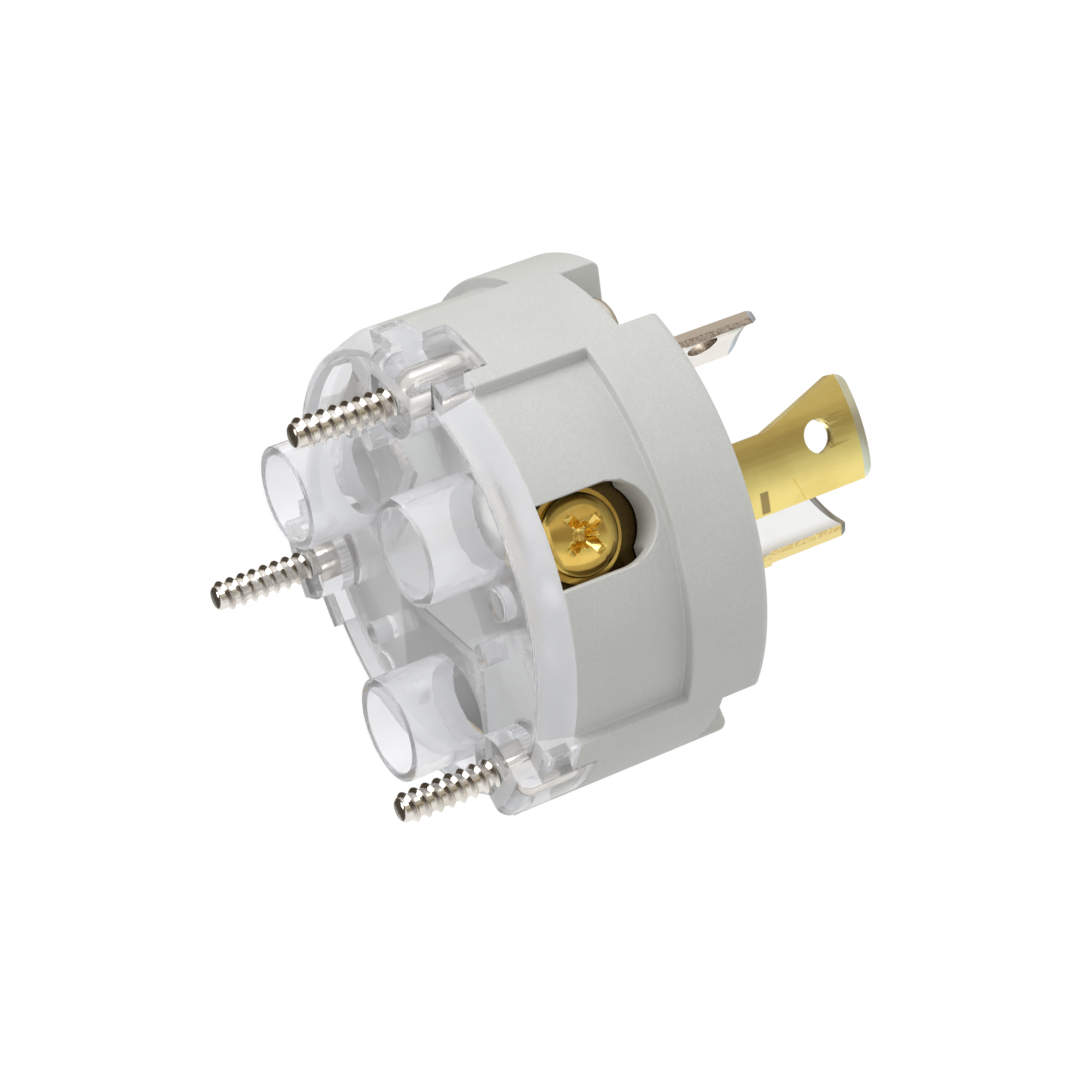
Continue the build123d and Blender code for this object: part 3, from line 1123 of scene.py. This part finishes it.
@dataclass
class RearCover:
    """The clear rear cover, with the facets fine enough for light to bend smoothly through its tubes.

    The features of one pole are shaped at the first station and repeated round the axis.
    """

    palette: Palette
    rim_z: float = 11.8
    joint_z: float = 14.985
    rim_radius: float = 21.3
    panel_radius: float = 22.3
    flange_radius: float = 23.5
    recess_radius: float = 20.5
    recess_z: float = 13.0
    lobe_inner: float = 16.31
    lobe_turn: float = -55.15
    lobe_spread: float = 31.3
    screw_circle: float = 19.81
    screw_turn: float = -53.0
    screw_hole: float = 1.28
    boss_radius: float = 3.4
    boss_z: float = 9.7
    boss_round: float = 1.3
    foot_z: float = 17.25
    tube_circle: float = 13.444
    tube_turn: float = -13.9
    tube_outer: float = 5.0
    tube_bore: float = 4.1
    tube_mouth_z: float = 6.0
    tube_root: float = 0.3
    post: Pin = Pin(1.55, 15.2, 14.0, 11.8)
    peg: Pin = Pin(1.1, 13.0, 37.0, 10.8)
    pad: Pin = Pin(1.6, 18.6, 31.0, 12.75)
    slot_width: float = 2.7
    slot_depth: float = 0.35
    slot_out: float = 0.3
    slot_heights: Span = (12.25, 13.15)
    overlap: float = 0.6
    reach: float = 1.0
    skin: float = 0.01
    edge_round: float = 0.14
    smooth_angle: float = 20.0
    round_sides: int = 240
    tube_sides: int = 144
    pin_sides: int = 64
    lobe_steps: int = 40
    block_steps: int = 8
    arc_steps: int = 360

    def build(self) -> list[bpy.types.Object]:
        """Builds the cover in place of its solid.

        Returns:
            The new piece, alone in a list.
        """
        disc = [(0.0, self.rim_z), *self.corner(self.rim_radius, self.rim_z),
                (self.panel_radius, self.joint_z), (0.0, self.joint_z)]
        piece = new_object("rear_cover_clear", lathe(disc, self.round_sides))
        combine(piece, self.repeated(self.lobe()), Join.ADD)
        hollow = self.rod(self.recess_radius, self.rim_z - self.reach, self.recess_z, self.round_sides)
        recess = new_object("recess", hollow)
        block = self.screw_block(self.rim_z - 2 * self.reach, self.joint_z)
        combine(recess, self.repeated(block), Join.CUT)
        combine(piece, recess, Join.CUT)
        for shape in self.standing_features():
            combine(piece, self.repeated(shape), Join.ADD)
        for shape in self.openings():
            combine(piece, self.repeated(shape), Join.CUT)
        combine(piece, new_object("boss_round", self.outer_round()), Join.CUT)
        tidy(piece)
        smooth(piece.data, self.smooth_angle)
        even_normals(piece, keep_sharp=True)
        settle(piece)
        piece.data.materials.clear()
        piece.data.materials.append(self.palette.of(CLEAR_MOULDING))
        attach(piece, "root")
        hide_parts("rear_cover")
        return [piece]

    def repeated(self, shape: bmesh.types.BMesh) -> bpy.types.Object:
        """Turns the first pole's shape into an object with one copy for each pole.

        Args:
            shape: the shape at the first station.

        Returns:
            The new object.
        """
        tool = new_object("feature", shape)
        run_tree(tool, ROUND_THE_AXIS, {"Count": len(Pole), "Material": self.palette.of(CLEAR_MOULDING)})
        return tool

    def standing_features(self) -> list[bmesh.types.BMesh]:
        """Shapes of one pole that stand on the plate: boss, foot, tube, post, peg and pad.

        Returns:
            The shapes at the first station.
        """
        root_z = self.recess_z + self.overlap
        tube = self.pin(self.tube_outer, self.tube_mouth_z, self.joint_z - self.tube_root, self.tube_sides)
        shapes = [self.screw_block(self.boss_z, root_z), self.screw_block(root_z, self.foot_z),
                  self.turned(tube, self.tube_circle, self.tube_turn)]
        for pin in (self.post, self.peg, self.pad):
            upright = self.pin(pin.radius, pin.low_z, root_z, self.pin_sides)
            shapes.append(self.turned(upright, pin.circle, pin.turn))
        return shapes

    def openings(self) -> list[bmesh.types.BMesh]:
        """Openings of one pole: tube bore, screw hole and rim slot.

        Returns:
            The cutters at the first station.
        """
        below, above = self.tube_mouth_z - self.reach, self.joint_z + self.reach
        mouth = [(2 * self.tube_bore + self.edge_round - r, z)
                 for r, z in self.corner(self.tube_bore + self.edge_round, self.tube_mouth_z)]
        bore = lathe([(0.0, below), (mouth[0][0], below), *mouth, (self.tube_bore, above), (0.0, above)],
                     self.tube_sides)
        hole = self.rod(self.screw_hole, self.boss_z - self.reach, self.foot_z + self.reach, self.pin_sides)
        low, high = self.slot_heights
        bar = bar_outline(2 * self.slot_depth, self.slot_width)
        return [self.turned(bore, self.tube_circle, self.tube_turn),
                self.turned(hole, self.screw_circle, self.screw_turn),
                self.turned(prism(bar, bar, high, low), self.rim_radius + self.slot_out, self.tube_turn)]

    def outer_round(self) -> bmesh.types.BMesh:
        """Ring that rounds off the bosses' outer corners.

        Returns:
            The cutter for all three bosses.
        """
        middle, radius = self.flange_radius - self.boss_round, self.boss_round
        turns = [math.radians(angle) for angle in range(0, 91, 9)]
        arc = [(middle + radius * math.sin(a), self.boss_z + radius * (1 - math.cos(a))) for a in turns]
        far, low = self.flange_radius + self.reach, self.boss_z - self.reach
        return lathe([*arc, (far, arc[-1][1]), (far, low), (middle, low)], self.round_sides)

    def lobe(self) -> bmesh.types.BMesh:
        """Sector of one pole that carries the screw out to the flange's outline.

        Returns:
            The sector at the first station.
        """
        turns = [math.radians(self.lobe_spread * (step / self.lobe_steps - 0.5))
                 for step in range(self.lobe_steps + 1)]
        outline = [polar(self.flange_radius, a) for a in turns]
        outline += [polar(self.lobe_inner, a) for a in reversed(turns)]
        return self.turned(prism(outline, outline, self.joint_z, self.rim_z), 0.0, self.lobe_turn)

    def screw_block(self, low_z: float, high_z: float) -> bmesh.types.BMesh:
        """Block round one assembly screw: round towards the axis and a hair inside the lobe's outline.

        Args:
            low_z: the block's lower height.
            high_z: the block's upper height.

        Returns:
            The block at the first station.
        """
        outer = self.flange_radius - self.skin
        half = math.asin(self.boss_radius / outer)
        outline = [polar(outer, half * (step / self.block_steps - 1))
                   for step in range(2 * self.block_steps + 1)]
        for step in range(self.arc_steps + 1):
            x, y = polar(self.boss_radius, math.radians(90 + 180 * step / self.arc_steps))
            outline.append((self.screw_circle + x, y))
        return self.turned(prism(outline, outline, high_z, low_z), 0.0, self.screw_turn)

    def corner(self, radius: float, low_z: float) -> list[tuple[float, float]]:
        """Rounded lower corner of a turned outline.

        Args:
            radius: the outline's radius above the corner.
            low_z: the height of its lower end.

        Returns:
            Radius and height pairs in millimetres.
        """
        turns = [math.radians(15 * step) for step in range(7)]
        return [(radius - self.edge_round * (1 - math.sin(a)), low_z + self.edge_round * (1 - math.cos(a)))
                for a in turns]

    def pin(self, radius: float, low_z: float, high_z: float, sides: int) -> bmesh.types.BMesh:
        """Upright rod on the axis with a rounded lower end."""
        return lathe([(0.0, low_z), *self.corner(radius, low_z), (radius, high_z), (0.0, high_z)], sides)

    @staticmethod
    def rod(radius: float, low_z: float, high_z: float, sides: int) -> bmesh.types.BMesh:
        """Upright rod on the axis."""
        return lathe([(0.0, low_z), (radius, low_z), (radius, high_z), (0.0, high_z)], sides)

    @staticmethod
    def turned(shape: bmesh.types.BMesh, circle: float, turn: float) -> bmesh.types.BMesh:
        """Moves a shape out to a circle and turns it to its place beside the first station.

        Args:
            shape: the shape to move.
            circle: how far out it goes, in millimetres.
            turn: its angle from the station, in degrees.

        Returns:
            The same shape in its place.
        """
        spin = Matrix.Rotation(math.radians(Pole.HOT.value + turn), 4, "Z")
        place = spin @ Matrix.Translation((circle * MM, 0, 0))
        bmesh.ops.transform(shape, matrix=place, verts=shape.verts)
        return shape


@dataclass
class Contacts:
    """The blade, washer and clamp plate of each pole."""

    palette: Palette
    strip_round: float = 0.06
    washer_round: float = 0.08
    bevel_angle: float = 13.0

    def build(self) -> list[bpy.types.Object]:
        """Dresses the contacts of the three poles.

        Returns:
            The dressed pieces.
        """
        pieces = []
        for pole in Pole:
            strip, ring = self.palette.of(STRIP_FINISHES[pole]), self.palette.of(WASHER_FINISHES[pole])
            steel = self.palette.of(CLAMP_STEEL)
            pieces += [dress_node(f"{pole.label}_blade", strip, self.strip_round, self.bevel_angle),
                       dress_node(f"{pole.label}_terminal_washer", ring, self.washer_round),
                       dress_node(f"{pole.label}_clamp_plate", steel, self.strip_round)]
        return pieces


@dataclass
class DomedScrews:
    """What both kinds of screw share: a domed head with a tapered cross recess, and a wound thread."""

    palette: Palette
    head_radius: float
    head_height: float
    head_edge: float
    cross_arm: float
    cross_width: float
    cross_depth: float
    cross_taper: float
    root_radius: float
    pitch: float
    thread_start: float
    foot_width: float
    crest_width: float
    tip_chamfer: float
    sides: int
    head_chamfer: float = 0.1
    cut_over: float = 0.1
    dome_steps: int = 9
    edge_round: float = 0.05
    smooth_angle: float = 40.0

    def head(self, seat: float) -> list[tuple[float, float]]:
        """Outline of the head, from its seat to the top of the dome.

        Args:
            seat: the height of the head's underside.

        Returns:
            Radius and height pairs in millimetres.
        """
        base, rise = seat + self.head_edge, self.head_height - self.head_edge
        turns = [math.pi / 2 * step / self.dome_steps for step in range(1, self.dome_steps)]
        dome = [(self.head_radius * math.cos(a), base + rise * math.sin(a)) for a in turns]
        return [(self.head_radius - self.head_chamfer, seat), (self.head_radius, seat + self.head_chamfer),
                (self.head_radius, base), *dome, (0.0, base + rise)]

    def cross(self, top: float) -> bmesh.types.BMesh:
        """Cutter of the cross recess under the dome's top.

        Args:
            top: the height of the dome's top.

        Returns:
            The cutter on the screw's axis.
        """
        arm, width, taper = self.cross_arm, self.cross_width, self.cross_taper
        return prism(cross_outline(arm, width), cross_outline(arm * taper, width * taper),
                     top + self.cut_over, top - self.cross_depth)

    def finish(self, piece: bpy.types.Object, cutters: Sequence[bmesh.types.BMesh], thread_end: float,
               crest_radius: float, material: bpy.types.Material) -> None:
        """Cuts a blank's head, rounds its edges and winds its thread.

        Args:
            piece: the turned blank, with its axis on Z and its tip at the origin.
            cutters: the shapes to cut out of the head.
            thread_end: the height at which the thread ends.
            crest_radius: the thread's outer radius.
            material: the material of the screw.
        """
        for shape in cutters:
            combine(piece, new_object("cutter", shape), Join.CUT)
        soften(piece, self.edge_round, self.smooth_angle)
        settle(piece)
        thread = Thread(self.thread_start, thread_end - self.thread_start, self.pitch, self.root_radius,
                        crest_radius - self.root_radius, self.foot_width, self.crest_width)
        thread.wind(piece, material)


@dataclass
class TerminalScrews(DomedScrews):
    """Dome-headed terminal screws with a slot and a cross recess."""

    seat: float = 18.8
    shank_end: float = 7.5
    height: float = 19.43
    head_radius: float = 3.75
    head_height: float = 1.8
    head_edge: float = 0.3
    shank_radius: float = 2.05
    neck: Span = (1.6, 1.2)
    root_radius: float = 1.7
    pitch: float = 0.7
    thread_start: float = 0.5
    thread_short: float = 1.9
    foot_width: float = 0.62
    crest_width: float = 0.1
    tip_chamfer: float = 0.3
    sides: int = 64
    cross_arm: float = 4.3
    cross_width: float = 1.0
    cross_depth: float = 1.5
    cross_taper: float = 0.42
    pit_radius: float = 1.25
    pit_floor: float = 0.45
    pit_depth: float = 1.1
    pit_sides: int = 32
    slot_width: float = 0.8
    slot_depth: float = 0.34
    slot_over: float = 0.5
    turns: dict[Pole, float] = field(
        default_factory=lambda: {Pole.HOT: 31.0, Pole.GROUND: 74.0, Pole.NEUTRAL: 8.0})

    def build(self) -> list[bpy.types.Object]:
        """Builds the three screws in place of their solids.

        Returns:
            The new pieces.
        """
        return [self.screw(pole) for pole in Pole]

    def screw(self, pole: Pole) -> bpy.types.Object:
        """Builds one pole's screw.

        Args:
            pole: the pole to build for.

        Returns:
            The new piece.
        """
        finish = TERMINAL_FINISHES[pole]
        length = self.seat - self.shank_end
        top = length + self.head_height
        bar = bar_outline(3 * self.head_radius, self.slot_width)
        slot = prism(bar, bar, top + self.slot_over, top - self.slot_depth)
        pit = lathe([(0.0, top - self.pit_depth * self.cross_depth),
                     (self.pit_floor * self.pit_radius, top - self.cross_depth),
                     (self.pit_radius, top + self.cut_over), (0.0, top + self.cut_over)], self.pit_sides)
        blank = lathe(self.profile(length), self.sides)
        piece = new_object(f"{pole.label}_terminal_screw_turned", blank)
        self.finish(piece, (self.cross(top), slot, pit), length - self.thread_short, self.shank_radius,
                    self.palette.of(finish))
        turned = Matrix.Rotation(math.radians(self.turns[pole]), 4, "Z")
        piece.data.transform(station_frame(pole.value, self.shank_end, self.height) @ turned)
        smooth(piece.data, self.smooth_angle)
        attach(piece, "root")
        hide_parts(f"{pole.label}_terminal_screw")
        return piece

    def profile(self, length: float) -> list[tuple[float, float]]:
        """Outline of the turned blank, from the shank's end to the top of the dome.

        Args:
            length: the shank's length under the head.

        Returns:
            Radius and height pairs in millimetres.
        """
        low, high = self.neck
        return [(0.0, 0.0), (self.root_radius - self.tip_chamfer, 0.0), (self.root_radius, self.tip_chamfer),
                (self.root_radius, length - low), (self.shank_radius, length - high),
                (self.shank_radius, length), *self.head(length)]


@dataclass
class AssemblyScrews(DomedScrews):
    """The three long screws that draw the cover, the body and an outer housing together."""

    circle: float = 19.81
    turn: float = -53.0
    seat: float = 30.35
    head_radius: float = 2.9
    head_height: float = 2.1
    head_edge: float = 0.7
    shank_radius: float = 1.3
    shoulder_radius: float = 1.56
    shoulder_z: float = 17.3
    crest_radius: float = 1.5
    root_radius: float = 1.15
    thread_start: float = 0.35
    thread_end: float = 9.9
    run_out: float = 0.5
    pitch: float = 1.18
    foot_width: float = 0.8
    crest_width: float = 0.05
    tip_chamfer: float = 0.2
    sides: int = 48
    cross_arm: float = 3.3
    cross_width: float = 0.85
    cross_depth: float = 1.3
    cross_taper: float = 0.4
    head_turns: tuple[float, float, float] = (18.0, 61.0, 37.0)

    def build(self) -> list[bpy.types.Object]:
        """Builds the three screws in place of their solids.

        Returns:
            The new pieces.
        """
        pieces = []
        for number, (pole, head_turn) in enumerate(zip(Pole, self.head_turns), start=1):
            pieces.append(self.screw(number, pole.value + self.turn, head_turn))
        return pieces

    def screw(self, number: int, angle: float, head_turn: float) -> bpy.types.Object:
        """Builds one screw.

        Args:
            number: the screw's number in its node name.
            angle: its place about the axis, in degrees.
            head_turn: how far it was driven, in degrees.

        Returns:
            The new piece.
        """
        piece = new_object(f"assembly_screw_{number}_threaded", lathe(self.profile(), self.sides))
        self.finish(piece, (self.cross(self.seat + self.head_height),), self.thread_end, self.crest_radius,
                    self.palette.of(NICKEL_SCREW))
        out = Vector((*polar(1.0, math.radians(angle)), 0.0)) * self.circle * MM
        piece.data.transform(Matrix.Translation(out) @ Matrix.Rotation(math.radians(head_turn), 4, "Z"))
        smooth(piece.data, self.smooth_angle)
        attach(piece, "root")
        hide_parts(f"assembly_screw_{number}")
        return piece

    def profile(self) -> list[tuple[float, float]]:
        """Outline of the turned blank, from the blunt tip to the top of the dome.

        Returns:
            Radius and height pairs in millimetres.
        """
        return [(0.0, 0.0), (self.root_radius - self.tip_chamfer, 0.0), (self.root_radius, self.tip_chamfer),
                (self.root_radius, self.thread_end), (self.shank_radius, self.thread_end + self.run_out),
                (self.shank_radius, self.shoulder_z), (self.shoulder_radius, self.shoulder_z),
                (self.shoulder_radius, self.seat), *self.head(self.seat)]


# Studio


@dataclass(frozen=True)
class Softbox:
    """Square soft lamp, placed by shares of the picture's right, up and forward directions."""

    name: str
    right: float
    up: float
    forward: float
    distance: float
    size: float
    power: float
    mirrored: bool = True


@dataclass
class Studio:
    """Camera, lamps, world and floor. The picture is square."""

    eye: Vector = field(default_factory=lambda: Vector((-29.839, -300.789, -114.377)))
    aim: Vector = field(default_factory=lambda: Vector((1.034, -1.457, 23.924)))
    right: Vector = field(default_factory=lambda: Vector((0.3130, -0.4248, 0.8495)))
    down: Vector = field(default_factory=lambda: Vector((0.9452, 0.0515, -0.3225)))
    lens: float = 121.213
    sensor: float = 36.0
    nearest: float = 10.0
    ambient: float = 0.55
    metal_room: tuple[tuple[float, Colour], ...] = (
        (0.0, WHITE), (0.34, (1.0, 1.0, 0.97)), (0.40, (0.62, 0.66, 0.62)), (0.48, (0.56, 0.58, 0.52)),
        (0.53, (0.32, 0.27, 0.2)), (0.64, (0.31, 0.26, 0.19)), (0.72, (0.64, 0.57, 0.44)),
        (0.81, (0.48, 0.44, 0.36)), (0.88, (0.8, 0.77, 0.72)), (0.94, WHITE))
    dark_side: Colour = (0.08, 0.065, 0.05)
    dark_span: Span = (-0.62, -0.3)
    clear_room: tuple[tuple[float, Colour], ...] = (
        (0.0, (0.98, 0.98, 0.98)), (0.45, (0.96, 0.96, 0.97)), (0.62, (0.84, 0.84, 0.86)),
        (0.8, (0.95, 0.95, 0.96)))
    floor_size: float = 2400.0
    floor_colour: Colour = (0.86, 0.86, 0.855)
    floor_roughness: float = 0.9
    softboxes: tuple[Softbox, ...] = (
        Softbox("key", -0.25, 0.95, -0.55, 480, 300, 1.05),
        Softbox("rear", -1.0, 0.25, -0.55, 520, 260, 0.8),
        Softbox("front", 0.35, -0.3, -1.0, 620, 340, 0.52, mirrored=False),
        Softbox("overhead", 1.0, 0.35, 0.1, 560, 420, 0.9, mirrored=False),
    )

    def build(self) -> None:
        """Sets up the whole studio."""
        self.place_camera()
        self.light_world()
        for box in self.softboxes:
            self.hang(box)
        self.lay_floor()
        bpy.context.scene.view_settings.view_transform = "Standard"

    @property
    def forward(self) -> Vector:
        """Direction in which the camera looks."""
        return (self.aim - self.eye).normalized()

    def place_camera(self) -> None:
        """Puts the camera at the viewing angle."""
        lens = bpy.data.cameras.new("camera")
        lens.lens = self.lens
        lens.sensor_width = self.sensor
        lens.clip_start = self.nearest * MM
        camera = bpy.data.objects.new("camera", lens)
        axes = Matrix((self.right, -self.down, -self.forward)).transposed().to_4x4()
        camera.matrix_world = Matrix.Translation(self.eye * MM) @ axes
        bpy.context.scene.collection.objects.link(camera)
        bpy.context.scene.camera = camera

    def hang(self, box: Softbox) -> None:
        """Hangs one softbox, turned to the plug.

        Args:
            box: the softbox to hang.
        """
        lamp = bpy.data.lights.new(box.name, "AREA")
        lamp.energy = box.power
        lamp.size = box.size * MM
        way = (self.right * box.right - self.down * box.up + self.forward * box.forward).normalized()
        holder = bpy.data.objects.new(box.name, lamp)
        holder.visible_glossy = box.mirrored
        spin = way.to_track_quat("Z", "Y").to_matrix().to_4x4()
        holder.matrix_world = Matrix.Translation((self.aim + way * box.distance) * MM) @ spin
        bpy.context.scene.collection.objects.link(holder)

    def light_world(self) -> None:
        """Fills the world with soft light behind a white background.

        Metal and clear plastic see the room in bands from below to above. Metal also sees a dark side on
        the picture's left.
        """
        world = bpy.data.worlds.new("studio")
        world.use_nodes = True
        bpy.context.scene.world = world
        wire = Wiring(world.node_tree)
        world.node_tree.nodes.clear()
        path = wire.node("ShaderNodeLightPath").outputs
        way = wire.node("ShaderNodeTexCoord").outputs["Generated"]
        lean = wire.vector("DOT_PRODUCT", way, tuple(-self.down), out="Value")
        share = wire.math("MULTIPLY_ADD", lean, 0.5, 0.5)
        sideways = wire.vector("DOT_PRODUCT", way, tuple(self.right), out="Value")
        lit = wire.step(sideways, *self.dark_span)
        room = wire.blend(lit, self.dark_side, self.room(wire, share, self.metal_room))
        through = wire.math("GREATER_THAN", path["Transmission Depth"], 0.5)
        behind = wire.blend(through, room, self.room(wire, share, self.clear_room))
        seen = wire.blend(path["Is Camera Ray"], behind, WHITE)
        backdrop = wire.node("ShaderNodeBackground", Color=seen, Strength=1.0)
        fill = wire.node("ShaderNodeBackground", Color=(*WHITE, 1.0), Strength=self.ambient)
        direct = wire.math("MAXIMUM", path["Is Camera Ray"],
                           wire.math("MAXIMUM", path["Is Glossy Ray"], path["Is Transmission Ray"]))
        light = wire.shaders(direct, fill.outputs["Background"], backdrop.outputs["Background"])
        wire.node("ShaderNodeOutputWorld", Surface=light)

    def room(self, wire: Wiring, share: bpy.types.NodeSocket, levels: Sequence[tuple[float, Colour]]
             ) -> bpy.types.NodeSocket:
        """Colours of the room from the table below the picture to the ceiling above it.

        Args:
            wire: the world's wiring.
            share: the direction, from 0 straight down in the picture to 1 straight up.
            levels: the direction and colour of each stop.

        Returns:
            The colour seen in that direction.
        """
        ramp = wire.node("ShaderNodeValToRGB", Fac=share)
        stops = ramp.color_ramp.elements
        while len(stops) < len(levels):
            stops.new(1.0)
        for stop, (place, colour) in zip(stops, levels):
            stop.position = place
            stop.color = (*colour, 1.0)
        return ramp.outputs["Color"]

    def lay_floor(self) -> None:
        """Lays a pale floor that shows from above and is open from below."""
        shape = bmesh.new()
        bmesh.ops.create_grid(shape, x_segments=2, y_segments=2, size=self.floor_size * MM / 2)
        floor = new_object("floor", shape)
        material, wire, shader, output = new_material("floor")
        shader.inputs["Base Color"].default_value = (*self.floor_colour, 1.0)
        shader.inputs["Roughness"].default_value = self.floor_roughness
        seen = wire.node("ShaderNodeLightPath").outputs["Is Camera Ray"]
        above = wire.math("SUBTRACT", 1.0, wire.node("ShaderNodeNewGeometry").outputs["Backfacing"])
        clear = wire.node("ShaderNodeBsdfTransparent").outputs["BSDF"]
        shown = wire.shaders(wire.math("MULTIPLY", seen, above), clear, shader.outputs["BSDF"])
        wire.feed(output.inputs["Surface"], shown)
        floor.data.materials.append(material)


def report(pieces: Sequence[bpy.types.Object]) -> None:
    """Logs the name and size of each piece."""
    for piece in pieces:
        log.info("%s: %d faces", piece.name, len(piece.data.polygons))


def main() -> None:
    """Builds the studio and every sub-assembly in order."""
    logging.basicConfig(level=logging.INFO, format="%(name)s %(message)s")
    Studio().build()
    palette = Palette()
    makers: tuple[Callable[[], list[bpy.types.Object]], ...] = (
        Body(palette).build, RearCover(palette).build, Contacts(palette).build,
        TerminalScrews(palette).build, AssemblyScrews(palette).build)
    for build in makers:
        report(build())


if __name__ == "__main__":
    main()
